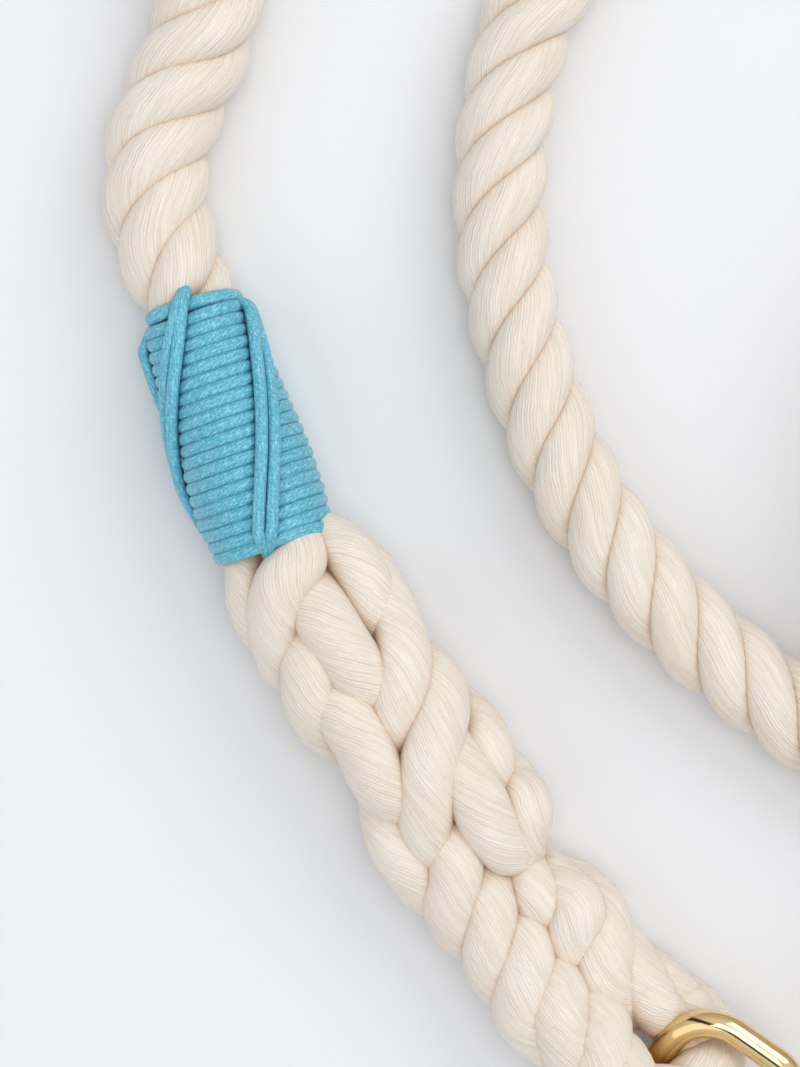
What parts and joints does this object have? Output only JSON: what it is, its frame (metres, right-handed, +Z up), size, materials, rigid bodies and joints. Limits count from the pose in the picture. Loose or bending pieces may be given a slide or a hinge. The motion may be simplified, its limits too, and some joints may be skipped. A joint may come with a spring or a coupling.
{
  "type": "halter lead rope with bolt snap",
  "caption": "Twisted cotton lead rope for a horse's halter, spliced round the eye of a swivel bolt snap, with cord whippings and a back-spliced tail.",
  "frame": {"origin": "centre of the flat on the underside of the snap's barrel, which is also the plane that the whole lead lies on", "axes": "+X along the snap's long axis, from the swivel eye to the hook; +Z up from the surface that the lead lies on; +Y completes the right-handed frame"},
  "size_m": [0.3188, 0.2578, 0.0319],
  "materials": {
    "cotton_rope": "natural undyed cotton, soft twisted yarns, slight fuzz",
    "waxed_cord": "turquoise braided waxed cord, slight sheen",
    "brass": "polished solid brass",
    "spring_steel": "drawn spring wire"
  },
  "bodies": {
    "rope": {"rope_eye": "cotton_rope", "eye_splice": "cotton_rope", "snap_end_whipping": "waxed_cord", "frapping_pair_a": "waxed_cord", "frapping_pair_b": "waxed_cord", "frapping_pair_c": "waxed_cord", "lead_rope": "cotton_rope", "rope_coil": "cotton_rope", "rope_tail": "cotton_rope", "tail_whipping": "waxed_cord", "tail_back_splice": "cotton_rope"},
    "eye": {"swivel_eye": "brass"},
    "snap": {"snap_body": "brass", "bolt_spring": "spring_steel"},
    "bolt": {"snap_bolt": "brass", "thumb_stud": "brass"}
  },
  "joints": [
    {"name": "eye_swing", "type": "hinge", "parent": "rope", "child": "eye", "pos_m": [-0.0467, 0, 0.0086], "axis": [0, -0.9135, -0.4067], "range_deg": [0, 70]},
    {"name": "snap_swivel", "type": "hinge", "parent": "eye", "child": "snap", "pos_m": [-0.02, 0, 0.0086], "axis": [1, 0, 0], "continuous": true},
    {"name": "bolt_slide", "type": "slide", "parent": "snap", "child": "bolt", "axis": [-1, 0, 0], "range_m": [0, 0.0145], "stiffness_N_per_m": 300, "springref_m": -0.008, "deforming": ["bolt_spring"]}
  ]
}
